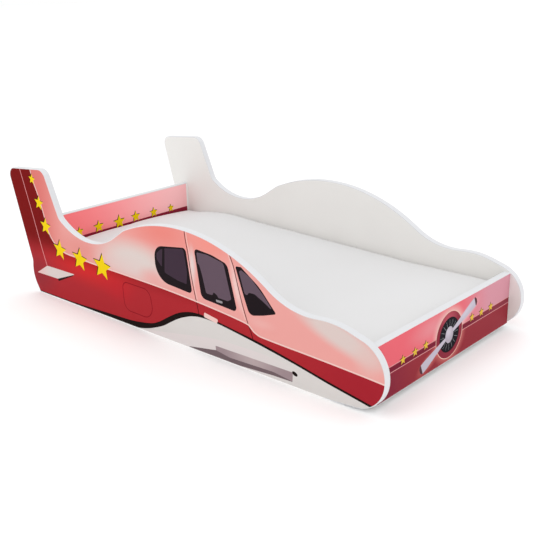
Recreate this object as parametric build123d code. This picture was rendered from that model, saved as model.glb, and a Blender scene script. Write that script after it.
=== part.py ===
# Child's airplane bed: two plane-shaped side panels, a tail board and a front board round a
# 140 x 70 cm mattress on pine slats. Millimetres, +X to the nose, +Z up, the left side at -Y.
# The origin is on the floor, in the middle of the bed's length and width.
from build123d import *
import os
from math import cos, radians, tan

# Well between the boards, and the boards
well_length = 1416
well_width = 700
board_thickness = 22
edge_band_thickness = 2
edge_band_chamfer = 0.8
end_board_bottom = 17
tail_board_top = 264
front_board_top = 184.5
film_thickness = 0.3
film_margin = 0.5

# Corners of the side panel. Each is where two straight runs would meet, and its radius is
# that of the arc that rounds it. Lengths up to the windscreen start at the tail board's
# inner face, and those of the nose at the front board's inner face.
floor_rear_x, floor_rear_radius = -18, 6
heel_x, heel_height, heel_radius = -55.5, 60, 108
waist_x, waist_height, waist_radius = -44, 114, 40
fin_rear_x, fin_rear_height, fin_rear_radius = -133.3, 440.7, 30
fin_front_x, fin_front_height, fin_front_radius = 79.2, 458.6, 38
fin_root_x, fin_root_height, fin_root_radius = 146.5, 299, 35
dip_x, dip_height, dip_radius = 302.5, 198.3, 248
cabin_rear_x, cabin_rear_height, cabin_rear_radius = 489.8, 319.9, 120
cabin_roof_x, cabin_roof_height, cabin_roof_radius = 816.1, 444.6, 628
windscreen_x, windscreen_height, windscreen_radius = 1167, 214.1, 250
cowl_x, cowl_height, cowl_radius = -91, 225.1, 260
nose_x, nose_top_height, nose_top_radius = 63, 178, 100
nose_low_height, nose_low_radius = 13.8, 95
chin_x, chin_radius = -110, 300
floor_edge_setback = 20

# Slat base
rail_height = 40
rail_width = 20
rail_end_gap = 8
slat_count = 13
slat_width = 68
slat_thickness = 15
slat_side_gap = 3
slat_end_margin = 6
slat_edge_chamfer = 1.5
tape_width = 25
tape_thickness = 1
tape_inset = 130

# Mattress, a foam core in a sewn cover
mattress_end_gap = 8
mattress_side_gap = 0.4
mattress_seat_gap = 0.3
mattress_bottom_height = 75
mattress_tail_edge = 78
mattress_head_edge = 103
mattress_nose_edge = 76
mattress_crown = 9
mattress_tail_crown = 16
mattress_corner_radius = 22
mattress_side_bulge = 3
cover_side_padding = 12
cover_end_padding = 14
cover_top_padding = 8
cover_base_thickness = 4
core_gap = 0.3

# Fasteners
cam_radius = 7.5
cam_length = 12.5
cam_pocket_depth = 13.5
cam_setback = 34
cam_edge_distance = 42
cam_slot_play = 0.5
cam_chamber_play = 1
bolt_shaft_radius = 3
bolt_neck_radius = 2
bolt_neck_length = 7
bolt_head_length = 3
bolt_thread_radius = 2.5
bolt_thread_length = 11
bolt_bore_radius = 4
cap_radius = 8.5
cap_thickness = 1.2
dowel_radius = 4
dowel_length = 30
dowel_depth_in_panel = 12
dowel_step = 32
screw_shank_radius = 2
screw_head_radius = 4
screw_head_height = 2.4
rail_screw_length = 33
rail_screw_count = 5
rail_screw_margin = 60
slat_screw_length = 38
fastener_gap = 0.05
hidden_sides = 12

# Heights and lengths that follow from these
tail_x = 0
front_x = well_length
half_well = well_width / 2
half_width = half_well + board_thickness
slat_top = mattress_bottom_height
slat_bottom = slat_top - slat_thickness
rail_bottom = slat_bottom - rail_height


def side_corners():
    """Corners of the side panel as (x, z, radius), from the tail end of the floor edge."""
    nose = front_x + nose_x
    return [
        (floor_rear_x, 0, floor_rear_radius),
        (heel_x, heel_height, heel_radius),
        (waist_x, waist_height, waist_radius),
        (fin_rear_x, fin_rear_height, fin_rear_radius),
        (fin_front_x, fin_front_height, fin_front_radius),
        (fin_root_x, fin_root_height, fin_root_radius),
        (dip_x, dip_height, dip_radius),
        (cabin_rear_x, cabin_rear_height, cabin_rear_radius),
        (cabin_roof_x, cabin_roof_height, cabin_roof_radius),
        (windscreen_x, windscreen_height, windscreen_radius),
        (front_x + cowl_x, cowl_height, cowl_radius),
        (nose, nose_top_height, nose_top_radius),
        (nose, nose_low_height, nose_low_radius),
        (front_x + chin_x, 0, chin_radius),
    ]


def inset_corners(corners, distance):
    """The same corners for an outline that runs a distance inside the first."""
    moved = []
    for i, (x, z, radius) in enumerate(corners):
        here = Vector(x, z)
        back = (Vector(*corners[i - 1][:2]) - here).normalized()
        ahead = (Vector(*corners[(i + 1) % len(corners)][:2]) - here).normalized()
        half_turn = radians(180 - back.get_angle(ahead)) / 2
        # the corners run clockwise, so a left turn is a hollow corner
        hollow = back.cross(ahead).Z < 0
        side = -1 if hollow else 1
        place = here + (back + ahead).normalized() * (side * distance / cos(half_turn))
        moved.append((place.X, place.Y, radius - side * distance))
    return moved


def outline_face(corners):
    """Closed face in the XZ plane, with an arc tangent to the runs at each corner."""
    count = len(corners)
    points = [Vector(x, 0, z) for x, z, radius in corners]
    runs = [points[(i + 1) % count] - points[i] for i in range(count)]
    half_turns = [radians(runs[i - 1].get_angle(runs[i])) / 2 for i in range(count)]
    reaches = [corners[i][2] * tan(half_turns[i]) for i in range(count)]
    arcs = []
    for i, here in enumerate(points):
        # two arcs that meet on a run share it
        share = min(
            1,
            runs[i - 1].length / (reaches[i - 1] + reaches[i]),
            runs[i].length / (reaches[i] + reaches[(i + 1) % count]),
        )
        reach = reaches[i] * share * 0.999
        back, ahead = -runs[i - 1].normalized(), runs[i].normalized()
        rise = reach / tan(half_turns[i]) * (1 / cos(half_turns[i]) - 1)
        middle = here + (back + ahead).normalized() * rise
        arcs.append(ThreePointArc(here + back * reach, middle, here + ahead * reach))
    straights = [Line(arcs[i - 1] @ 1, arc @ 0) for i, arc in enumerate(arcs)]
    return Face(Wire(arcs + straights))


outline = side_corners()
floor_start = floor_rear_x + floor_edge_setback
floor_end = front_x + chin_x - floor_edge_setback
shape_box = outline_face(outline).bounding_box()
# moves the middle of the bed's length to X = 0
centre_x = (shape_box.min.X + shape_box.max.X) / 2


def slab(corners, low_y, thickness):
    return Pos(0, low_y, 0) * extrude(outline_face(corners), thickness, dir=(0, 1, 0))


def block(low, high):
    """Box between two corners."""
    size = [h - l for l, h in zip(low, high)]
    return Pos(*low) * Box(*size, align=(Align.MIN, Align.MIN, Align.MIN))


def disc(start, direction, radius, length):
    """Cylinder from its start point along a direction."""
    return Plane(origin=start, z_dir=direction) * Cylinder(
        radius, length, align=(Align.CENTER, Align.CENTER, Align.MIN)
    )


def rod(start, direction, radius, length):
    """Fastener's shaft, or its bore, with few sides because nothing shows of it."""
    across = Plane(origin=start, z_dir=direction)
    return extrude(across * RegularPolygon(radius, hidden_sides), length)


def countersink(start, direction, start_radius, end_radius, length):
    across = Plane(origin=start, z_dir=direction)
    wide = across * RegularPolygon(start_radius, hidden_sides)
    narrow = across.offset(length) * RegularPolygon(end_radius, hidden_sides)
    return loft([wide, narrow], ruled=True)


def save(name, *pieces):
    """One node, of one solid or of a group of separate ones."""
    solids = [Pos(-centre_x, 0, 0) * solid for piece in pieces for solid in piece.solids()]
    export_step(solids[0] if len(solids) == 1 else Compound(children=solids), f"parts/{name}.step")


# Where the end boards meet a side panel: (board's low x, cam heights, dowel heights).
# Both boards hold their cams in the face towards the tail.
def board_joints():
    tail_cams = [end_board_bottom + cam_edge_distance, tail_board_top - cam_edge_distance]
    tail_dowels = [tail_cams[0] + dowel_step, tail_cams[1] - dowel_step]
    front_cams = [end_board_bottom + cam_edge_distance, front_board_top - cam_edge_distance]
    return [
        (tail_x - board_thickness, tail_cams, tail_dowels),
        (front_x, front_cams, [sum(front_cams) / 2]),
    ]


def cam_bolt(x, z, side):
    """Steel dowel screwed into the side panel, its head held in the cam."""
    inward = (0, -side, 0)
    face = side * half_well
    shaft_length = cam_setback - bolt_neck_length - bolt_head_length / 2
    thread = rod((x, face, z), (0, side, 0), bolt_thread_radius, bolt_thread_length)
    shaft = rod((x, face, z), inward, bolt_shaft_radius, shaft_length)
    neck = rod((x, face - side * shaft_length, z), inward, bolt_neck_radius, bolt_neck_length)
    head_start = face - side * (shaft_length + bolt_neck_length)
    head = rod((x, head_start, z), inward, bolt_shaft_radius, bolt_head_length)
    return thread + shaft + neck + head


def cam_lock(x, z, side):
    """Round cam with a slot for the bolt's neck and a wider chamber for its head."""
    y = side * (half_well - cam_setback)
    bottom = x - board_thickness / 2 + cam_pocket_depth
    body = rod((bottom, y, z), (-1, 0, 0), cam_radius - 2 * fastener_gap, cam_length)
    neck_half = bolt_neck_radius + cam_slot_play
    head_half = bolt_shaft_radius + cam_slot_play
    slot = block(
        (x - head_half, min(y, y + side * cam_radius), z - neck_half),
        (x + head_half, max(y, y + side * cam_radius), z + neck_half),
    )
    chamber_half = bolt_head_length / 2 + cam_chamber_play
    chamber = block(
        (x - head_half, y - chamber_half, z - head_half),
        (x + head_half, y + chamber_half, z + head_half),
    )
    return body - slot - chamber


def screw(start, direction, length):
    """Countersunk wood screw, from the top of its head."""
    head = countersink(start, direction, screw_head_radius, screw_shank_radius, screw_head_height)
    return head + rod(start, direction, screw_shank_radius, length)


def screw_hole(start, direction, length):
    gap = fastener_gap
    shank_radius = screw_shank_radius + gap
    head = countersink(start, direction, screw_head_radius + gap, shank_radius, screw_head_height)
    return head + rod(start, direction, shank_radius, length + gap)


def rail_screw_places():
    first = tail_x + rail_end_gap + rail_screw_margin
    last = front_x - rail_end_gap - rail_screw_margin
    step = (last - first) / (rail_screw_count - 1)
    return [first + i * step for i in range(rail_screw_count)]


def slat_places():
    """Middle of each slat along the bed."""
    first = tail_x + rail_end_gap + slat_end_margin + slat_width / 2
    last = front_x - rail_end_gap - slat_end_margin - slat_width / 2
    return [first + i * (last - first) / (slat_count - 1) for i in range(slat_count)]


def make_fasteners():
    """Cam bolts, cams, caps and dowels, and the bores for them in the panels and boards."""
    bolts, cams, caps, dowels, panel_bores = [], [], [], [], []
    board_bores = {0: [], 1: []}
    thread_hole = bolt_thread_radius + fastener_gap
    for board, (face_x, cam_heights, dowel_heights) in enumerate(board_joints()):
        x = face_x + board_thickness / 2
        for side in (-1, 1):
            face = side * half_well
            pocket_y = side * (half_well - cam_setback)
            inward = (0, -side, 0)
            for z in cam_heights:
                bolts.append(cam_bolt(x, z, side))
                cams.append(cam_lock(x, z, side))
                caps.append(disc((face_x, pocket_y, z), (-1, 0, 0), cap_radius, cap_thickness))
                panel_bores.append(
                    rod((x, face, z), (0, side, 0), thread_hole, bolt_thread_length + fastener_gap)
                )
                bore_length = cam_setback + bolt_head_length
                board_bores[board].append(rod((x, face, z), inward, bolt_bore_radius, bore_length))
                board_bores[board].append(
                    rod((face_x, pocket_y, z), (1, 0, 0), cam_radius, cam_pocket_depth)
                )
            for z in dowel_heights:
                start = side * (half_well + dowel_depth_in_panel)
                dowels.append(rod((x, start, z), inward, dowel_radius, dowel_length))
                bore_start = (x, start + side * fastener_gap, z)
                bore_length = dowel_length + 2 * fastener_gap
                bore = rod(bore_start, inward, dowel_radius + fastener_gap, bore_length)
                panel_bores.append(bore)
                board_bores[board].append(bore)
    return bolts, cams, caps, dowels, panel_bores, board_bores


bolts, cams, caps, dowels, panel_bores, board_bores = make_fasteners()


def rail_screws(make):
    """One screw, or its hole, at each place on both rails."""
    inner = half_well - rail_width
    z = rail_bottom + rail_height / 2
    return [
        make((x, side * inner, z), (0, side, 0), rail_screw_length)
        for side in (-1, 1)
        for x in rail_screw_places()
    ]


def slat_screws(make):
    """One screw, or its hole, at each end of the first and the last slat."""
    y = half_well - rail_width / 2
    return [
        make((x, side * y, slat_top), (0, 0, -1), slat_screw_length)
        for x in (slat_places()[0], slat_places()[-1])
        for side in (-1, 1)
    ]


def make_side(name, side):
    """Chipboard panel, its edge band and its printed film. The floor edge has no band."""
    low_y = half_well if side > 0 else -half_width
    board = slab(inset_corners(outline, edge_band_thickness), low_y, board_thickness)
    floor_edge = block(
        (floor_start, low_y, 0), (floor_end, low_y + board_thickness, 2 * edge_band_thickness)
    )
    board = board + floor_edge
    whole = slab(outline, low_y, board_thickness)
    rims = whole.faces().sort_by(Axis.Y)[0].edges() + whole.faces().sort_by(Axis.Y)[-1].edges()
    band = chamfer(rims, edge_band_chamfer) - board
    for bore in panel_bores + rail_screws(screw_hole):
        if bore.bounding_box().max.Y * side > 0 and bore.bounding_box().min.Y * side > 0:
            board = board - bore
    film_y = half_width if side > 0 else -half_width - film_thickness
    film = slab(inset_corners(outline, edge_band_thickness + film_margin), film_y, film_thickness)
    save(f"{name}_side_panel", board)
    save(f"{name}_edge_band", band)
    save(f"{name}_printed_film", film)


def make_end_board(name, low_x, top, bores, film_x):
    """Board between the side panels, banded along its top and bottom edges."""
    band = edge_band_thickness
    ends = (-half_well, half_well)
    board = block(
        (low_x, ends[0], end_board_bottom + band), (low_x + board_thickness, ends[1], top - band)
    )
    for bore in bores:
        board = board - bore
    strips = []
    for low_z in (end_board_bottom, top - band):
        strip = block((low_x, ends[0], low_z), (low_x + board_thickness, ends[1], low_z + band))
        outer = Axis.Z if low_z > end_board_bottom else -Axis.Z
        long_edges = strip.faces().sort_by(outer)[-1].edges().filter_by(Axis.Y)
        strips.append(chamfer(long_edges, edge_band_chamfer))
    margin = band + film_margin
    film = block(
        (film_x, ends[0] + film_margin, end_board_bottom + margin),
        (film_x + film_thickness, ends[1] - film_margin, top - margin),
    )
    save(f"{name}_board", board)
    save(f"{name}_edge_bands", *strips)
    save(f"{name}_printed_film", film)


def make_slat_base():
    """Pine rails screwed to the panels, and loose slats of which the end ones are screwed down."""
    start_x, end_x = tail_x + rail_end_gap, front_x - rail_end_gap
    end_holes = slat_screws(screw_hole)
    for name, side in (("left", -1), ("right", 1)):
        inner, outer = side * (half_well - rail_width), side * half_well
        rail = block(
            (start_x, min(inner, outer), rail_bottom), (end_x, max(inner, outer), slat_bottom)
        )
        for hole in rail_screws(screw_hole) + end_holes:
            if hole.bounding_box().center().Y * side > 0:
                rail = rail - hole
        save(f"{name}_slat_rail", rail)
    half_slat = half_well - slat_side_gap
    for number, x in enumerate(slat_places(), start=1):
        slat = block(
            (x - slat_width / 2, -half_slat, slat_bottom), (x + slat_width / 2, half_slat, slat_top)
        )
        slat = chamfer(slat.faces().sort_by(Axis.Z)[-1].edges().filter_by(Axis.Y), slat_edge_chamfer)
        if number in (1, slat_count):
            for hole in end_holes:
                slat = slat - hole
        save(f"slat_{number:02d}", slat)


def make_tapes():
    """Two woven tapes under the slats, which keep their pitch."""
    places = slat_places()
    start_x, end_x = places[0] - slat_width / 2, places[-1] + slat_width / 2
    half_tape = tape_width / 2
    low_z = slat_bottom - tape_thickness
    tapes = [
        block((start_x, y - half_tape, low_z), (end_x, y + half_tape, slat_bottom))
        for y in (-half_well + tape_inset, half_well - tape_inset)
    ]
    save("slat_tapes", *tapes)


def mattress_section(x, top_edge, drawn_in, rise):
    """Closed face across the bed: flat base, round corners, sides that bow out and a crown."""
    low = mattress_bottom_height + mattress_seat_gap + drawn_in
    high = mattress_bottom_height + top_edge - drawn_in
    side_y = half_well - mattress_side_gap - mattress_side_bulge - drawn_in
    radius = min(mattress_corner_radius, 0.4 * (high - low))
    base_y = side_y - radius
    bulge_y = side_y + mattress_side_bulge
    # how far the middle of a corner's arc lies inside the square corner
    cut = radius * (1 - cos(radians(45)))
    half_path = [
        ((base_y, low), (side_y - cut, low + cut), (side_y, low + radius)),
        ((side_y, low + radius), (bulge_y, (low + high) / 2), (side_y, high - radius)),
        ((side_y, high - radius), (side_y - cut, high - cut), (base_y, high)),
    ]
    right = [ThreePointArc(*[(x, y, z) for y, z in arc]) for arc in half_path]
    left = [ThreePointArc(*[(x, -y, z) for y, z in reversed(arc)]) for arc in reversed(half_path)]
    crown = ThreePointArc((x, base_y, high), (x, 0, high + rise), (x, -base_y, high))
    base = Line((x, -base_y, low), (x, base_y, low))
    return Face(Wire([base, *right, crown, *left]))


def mattress_stations():
    """(place along the bed, height of the top edge over the slats, how far it is drawn in, crown)"""
    start = tail_x + mattress_end_gap
    length = well_length - 2 * mattress_end_gap
    tail, head, nose = mattress_tail_edge, mattress_head_edge, mattress_nose_edge
    crown, tail_crown = mattress_crown, mattress_tail_crown
    # its edges drooping at the tail, fullest at the head and thinner to the nose
    shares = [
        (0, tail, 6, tail_crown),
        (0.02, tail + 2, 0, tail_crown),
        (0.07, tail + 12, 0, (tail_crown + crown) / 2),
        (0.17, head, 0, crown),
        (0.5, nose + 12, 0, crown),
        (0.77, nose, 0, crown),
        (0.98, nose, 0, crown),
        (1, nose, 10, crown),
    ]
    return [(start + share * length, *rest) for share, *rest in shares]


def core_form(gap):
    """Foam under the padding, or with a gap the hollow in the cover that it fills."""
    sections = []
    side_y = half_well - mattress_side_gap - mattress_side_bulge - cover_side_padding + gap
    low = mattress_bottom_height + mattress_seat_gap + cover_base_thickness - gap
    stations = mattress_stations()
    for number, (x, top_edge, _, _) in enumerate(stations):
        if number == 0:
            x = x + cover_end_padding - gap
        elif number == len(stations) - 1:
            x = x - cover_end_padding + gap
        elif number in (1, len(stations) - 2):
            continue
        high = mattress_bottom_height + top_edge - cover_top_padding + gap
        corners = [(x, -side_y, low), (x, side_y, low), (x, side_y, high), (x, -side_y, high)]
        sections.append(Face(Wire(Polyline(*corners, close=True).edges())))
    return loft(sections, ruled=True)


def make_mattress():
    sections = [mattress_section(*station) for station in mattress_stations()]
    save("mattress_cover", loft(sections, ruled=True) - core_form(core_gap))
    save("mattress_core", core_form(0))


os.makedirs("parts", exist_ok=True)
make_side("left", -1)
make_side("right", 1)
make_end_board("tail", tail_x - board_thickness, tail_board_top, board_bores[0], tail_x)
make_end_board("front", front_x, front_board_top, board_bores[1], front_x + board_thickness)
save("cam_bolts", *bolts)
save("cam_locks", *cams)
save("cam_caps", *caps)
save("wood_dowels", *dowels)
save("rail_screws", *rail_screws(screw))
save("slat_screws", *slat_screws(screw))
make_slat_base()
make_tapes()
make_mattress()
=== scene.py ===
import math

import bpy
import bmesh
import numpy as np
from mathutils import Matrix, Vector
from mathutils.geometry import delaunay_2d_cdt


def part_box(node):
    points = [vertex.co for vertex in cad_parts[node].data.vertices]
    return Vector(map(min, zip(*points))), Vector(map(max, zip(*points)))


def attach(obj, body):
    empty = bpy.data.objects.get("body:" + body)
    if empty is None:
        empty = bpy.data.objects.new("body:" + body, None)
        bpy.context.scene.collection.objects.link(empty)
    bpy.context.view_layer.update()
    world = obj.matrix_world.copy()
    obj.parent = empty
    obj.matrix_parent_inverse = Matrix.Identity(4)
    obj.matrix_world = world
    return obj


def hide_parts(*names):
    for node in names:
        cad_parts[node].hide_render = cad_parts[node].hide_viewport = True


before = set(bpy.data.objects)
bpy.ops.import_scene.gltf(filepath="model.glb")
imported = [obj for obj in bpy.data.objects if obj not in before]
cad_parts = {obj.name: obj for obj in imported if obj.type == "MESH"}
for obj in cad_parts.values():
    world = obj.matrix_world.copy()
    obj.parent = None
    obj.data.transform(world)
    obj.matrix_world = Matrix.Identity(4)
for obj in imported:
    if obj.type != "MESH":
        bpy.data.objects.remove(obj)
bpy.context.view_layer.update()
scene = bpy.context.scene
mm = 0.001

# Places read from the frame, in millimetres
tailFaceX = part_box("tail_board")[1].x / mm       # the tail board's inner face
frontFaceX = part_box("front_board")[0].x / mm     # the front board's inner face
innerFaceY = -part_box("left_side_panel")[1].y / mm
outerFaceY = -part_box("left_side_panel")[0].y / mm


# Small tools: boxes, colours, nodes, meshes

def boxOf(name):
    # A node's lowest and highest corners, in millimetres
    return [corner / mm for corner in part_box(name)]


def hexColour(code):
    # sRGB to linear: c / 12.92 up to 0.04045, and ((c + 0.055) / 1.055) ^ 2.4 above it
    channels = [int(code[i:i + 2], 16) / 255 for i in (1, 3, 5)]
    return (*[c / 12.92 if c <= 0.04045 else ((c + 0.055) / 1.055) ** 2.4 for c in channels], 1)


def addNode(tree, kind, settings=None, links=None):
    # settings: a socket's number or name, or a property; links: a socket and the output that feeds it
    node = tree.nodes.new("ShaderNode" + kind)
    for key, value in (settings or {}).items():
        if not isinstance(key, int) and hasattr(node, key):
            setattr(node, key, value)
        else:
            node.inputs[key].default_value = value
    for key, output in (links or {}).items():
        tree.links.new(output, node.inputs[key])
    return node


def newMaterial(name, look):
    # look: the shader's sockets. Patterns start from the last output, the place on the object.
    material = bpy.data.materials.new(name)
    material.use_nodes = True
    tree = material.node_tree
    shader = tree.nodes["Principled BSDF"]
    for socket, value in look.items():
        shader.inputs[socket].default_value = value
    return material, tree, shader, addNode(tree, "TexCoord").outputs["Object"]


def mixColours(tree, share, first, second):
    # first and second: a hex code, a linear colour or an output. The colours of a Mix node are its
    # inputs 6 and 7 and its output 2.
    mix = addNode(tree, "Mix", {"data_type": "RGBA"}, {0: share})
    for socket, source in ((6, first), (7, second)):
        if isinstance(source, (str, tuple)):
            mix.inputs[socket].default_value = hexColour(source) if isinstance(source, str) else source
        else:
            tree.links.new(source, mix.inputs[socket])
    return mix.outputs[2]


def addBump(tree, shader, height, depth, strength=1.0):
    # depth: how far the pattern's height of 1 stands out, in metres
    bump = addNode(tree, "Bump", {"Strength": strength, "Distance": depth}, {"Height": height})
    tree.links.new(bump.outputs["Normal"], shader.inputs["Normal"])


def finishPiece(piece, materials, body, nodes=(), sharpAngle=35):
    # materials: one, or a list of them; sharpAngle: 0 leaves the faces' shading as it is
    for material in materials if isinstance(materials, list) else [materials]:
        piece.data.materials.append(material)
    if sharpAngle:
        piece.data.shade_smooth()
        piece.data.set_sharp_from_angle(angle=math.radians(sharpAngle))
    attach(piece, body)
    if nodes:
        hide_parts(*nodes)
    return piece


def dressNodes(names, material, edge=0):
    # A CAD node keeps its mesh. edge: the round on every edge sharper than 40 degrees, in mm,
    # as worn or sawn edges have, so that they catch the light.
    for name in names:
        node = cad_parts[name]
        node.data.materials.clear()
        node.data.materials.append(material)
        if edge:
            soft = node.modifiers.new("round_edges", "BEVEL")
            soft.width = edge * mm
            soft.segments = 2
            soft.limit_method = "ANGLE"
            soft.angle_limit = math.radians(40)


def makePiece(name, points, faces):
    mesh = bpy.data.meshes.new(name)
    mesh.from_pydata(np.asarray(points, float).tolist(), [], faces)
    mesh.validate()
    piece = bpy.data.objects.new(name, mesh)
    scene.collection.objects.link(piece)
    return piece


def gridFaces(rows, columns, caps, first):
    # Face (i, j) joins points (i, j), (i, j + 1), (i + 1, j + 1) and (i + 1, j) of a grid whose
    # last column joins the first. Caps close its first and last rows.
    i, j = np.meshgrid(np.arange(rows - 1), np.arange(columns), indexing="ij")
    k, n = i + 1, (j + 1) % columns
    quads = np.stack([i * columns + j, i * columns + n, k * columns + n, k * columns + j], -1)
    faces = (quads.reshape(-1, 4) + first).tolist()
    if caps:
        ring = np.arange(columns) + first
        faces += [ring[::-1].tolist(), (ring + (rows - 1) * columns).tolist()]
    return faces


def outwardPiece(name, grid, copies=(Matrix.Identity(4),), caps=True):
    # One closed grid, or a copy of it at each place, with the normals turned outwards
    rows, columns = grid.shape[:2]
    flat = grid.reshape(-1, 3) * mm
    points, faces = [], []
    for number, place in enumerate(copies):
        turn = np.array(place)
        points.append(flat @ turn[:3, :3].T + turn[:3, 3] * mm)
        faces += gridFaces(rows, columns, caps, number * len(flat))
    piece = makePiece(name, np.vstack(points), faces)
    work = bmesh.new()
    work.from_mesh(piece.data)
    bmesh.ops.remove_doubles(work, verts=work.verts, dist=1e-6)
    bmesh.ops.recalc_face_normals(work, faces=work.faces)
    work.to_mesh(piece.data)
    work.free()
    return piece


def joinPieces(name, pieces):
    # One mesh out of several, and the several removed
    work = bmesh.new()
    for piece in pieces:
        work.from_mesh(piece.data)
    mesh = bpy.data.meshes.new(name)
    work.to_mesh(mesh)
    work.free()
    for piece in pieces:
        bpy.data.meshes.remove(piece.data)
    joined = bpy.data.objects.new(name, mesh)
    scene.collection.objects.link(joined)
    return joined


def tangentArcs(corners, steps=8):
    # Each corner (a, b, radius) becomes an arc tangent to its two runs, which starts at
    # radius * tan(half the turn) from the corner. Arcs that meet on a run share it.
    corners = np.array(corners, float)
    corner, radius = corners[:, :2], corners[:, 2]
    back, ahead = np.roll(corner, 1, 0) - corner, np.roll(corner, -1, 0) - corner
    backLength, aheadLength = np.linalg.norm(back, axis=1), np.linalg.norm(ahead, axis=1)
    back, ahead = back / backLength[:, None], ahead / aheadLength[:, None]
    halfTurn = (np.pi - np.arccos(np.clip((back * ahead).sum(1), -1, 1))) / 2
    reach = radius * np.tan(halfTurn)
    share = np.minimum(backLength / (reach + np.roll(reach, 1) + 1e-9),
                       aheadLength / (reach + np.roll(reach, -1) + 1e-9))
    reach = reach * np.minimum(1, share) * 0.999
    radius = reach / np.tan(halfTurn)
    bisector = (back + ahead) / np.linalg.norm(back + ahead, axis=1)[:, None]
    centre = corner + bisector * (radius / np.cos(halfTurn))[:, None]
    arm = corner + back * reach[:, None] - centre
    left = np.sign(back[:, 1] * ahead[:, 0] - back[:, 0] * ahead[:, 1])   # 1 where the line turns left
    angle = (2 * halfTurn * left)[:, None] * np.linspace(0, 1, steps)
    turned = np.stack([arm[:, None, 0] * np.cos(angle) - arm[:, None, 1] * np.sin(angle),
                       arm[:, None, 0] * np.sin(angle) + arm[:, None, 1] * np.cos(angle)], -1)
    points = centre[:, None] + turned
    outward = -left[:, None, None] * turned / np.maximum(radius, 1e-9)[:, None, None]
    return points.reshape(-1, 2), outward.reshape(-1, 2)


def throughPoints(points, steps=8):
    # Catmull-Rom curve: between two points a cubic, whose slope at each is half the step
    # from the point before it to the one after it
    p = np.array(points, float)
    p = np.vstack([2 * p[0] - p[1], p, 2 * p[-1] - p[-2]])
    a, b, c, d = (p[i:len(p) - 3 + i, None] for i in range(4))
    t = np.linspace(0, 1, steps, endpoint=False)[None, :, None]
    curve = 0.5 * (2 * b + (c - a) * t + (2 * a - 5 * b + 4 * c - d) * t ** 2
                   + (3 * b - a - 3 * c + d) * t ** 3)
    return np.vstack([curve.reshape(-1, 2), p[-2]])


def ribbon(line, width):
    # Strip along a line: each point moved half the width to both sides, square to the line
    line = np.array(line, float)
    step = np.gradient(line, axis=0)
    square = np.stack([-step[:, 1], step[:, 0]], 1) / np.linalg.norm(step, axis=1)[:, None]
    return np.vstack([line + square * width / 2, (line - square * width / 2)[::-1]])


def ellipse(centre, radii, tilt=0.0, steps=64):
    # centre + turn(tilt) of (ra cos t, rb sin t)
    t = np.linspace(0, 2 * np.pi, steps, endpoint=False)
    a, b = radii[0] * np.cos(t), radii[1] * np.sin(t)
    c, s = math.cos(math.radians(tilt)), math.sin(math.radians(tilt))
    return np.stack([centre[0] + a * c - b * s, centre[1] + a * s + b * c], 1)


def star(centre, radius, tilt=0.0):
    # Ten points at equal turns, by turns at the radius and at 0.45 of it, the first one on top
    t = np.radians(90 + tilt) + np.arange(10) * np.pi / 5
    r = np.where(np.arange(10) % 2 == 0, radius, radius * 0.45)
    return np.stack([centre[0] + r * np.cos(t), centre[1] + r * np.sin(t)], 1)


def rounded(corners, steps=8):
    return tangentArcs(corners, steps)[0]


# The plane's side view, as in the frame: corners (x, height, radius)

sideView = {
    "fromTailBoard": [
        (-18, 0, 6), (-55.5, 60, 108), (-44, 114, 40), (-133.3, 440.7, 30), (79.2, 458.6, 38),
        (146.5, 299, 35), (302.5, 198.3, 248), (489.8, 319.9, 120), (816.1, 444.6, 628),
        (1167, 214.1, 250),
    ],
    "fromFrontBoard": [(-91, 225.1, 260), (63, 178, 100), (63, 13.8, 95), (-110, 0, 300)],
    "floorEdge": (2, -130),       # where the unbanded floor edge starts and ends, from the same faces
    "arcSteps": 28,
    "printMargin": 2.5,
}


def sideOutline():
    corners = [(x + tailFaceX, z, r) for x, z, r in sideView["fromTailBoard"]]
    corners += [(x + frontFaceX, z, r) for x, z, r in sideView["fromFrontBoard"]]
    return tangentArcs(corners, sideView["arcSteps"])


outlinePoints, outlineNormals = sideOutline()


# Edge bands

edging = {"depth": 2.0, "tongue": 0.6, "tongueStep": 0.12, "proud": 0.03, "radius": 1.4, "arcSteps": 5}


def bandProfile(width):
    # (depth, across): quarter arcs at both outer corners, and a narrower tongue behind, which
    # goes a little way into the board so that no gap shows along it
    e = edging
    half = width / 2 + e["proud"]
    t = np.linspace(0, np.pi / 2, e["arcSteps"])
    low = np.stack([e["radius"] * (1 - np.sin(t)), -half + e["radius"] * (1 - np.cos(t))], 1)
    high = low[::-1] * (1, -1)
    inner = half - e["tongueStep"]
    back, deep = e["depth"], e["depth"] + e["tongue"]
    tongue = [(back, half), (back, inner), (deep, inner), (deep, -inner), (back, -inner), (back, -half)]
    return np.vstack([low, high, tongue])


def makeSideBand(side):
    # The profile carried along the outline, from one end of the floor edge round to the other
    start, end = sideView["floorEdge"]
    path = np.vstack([[start + tailFaceX, 0], outlinePoints, [end + frontFaceX, 0]])
    normal = np.vstack([[0, -1], outlineNormals, [0, -1]])
    profile = bandProfile(outerFaceY - innerFaceY)
    inset = path[:, None] - normal[:, None] * profile[None, :, 0, None]
    across = side * (innerFaceY + outerFaceY) / 2 + profile[:, 1]
    grid = np.stack([inset[..., 0], np.broadcast_to(across, inset.shape[:2]), inset[..., 1]], -1)
    name = "left" if side < 0 else "right"
    piece = outwardPiece(f"{name}_abs_edging", grid)
    finishPiece(piece, absEdging, "bed_frame", [f"{name}_edge_band"])


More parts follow.
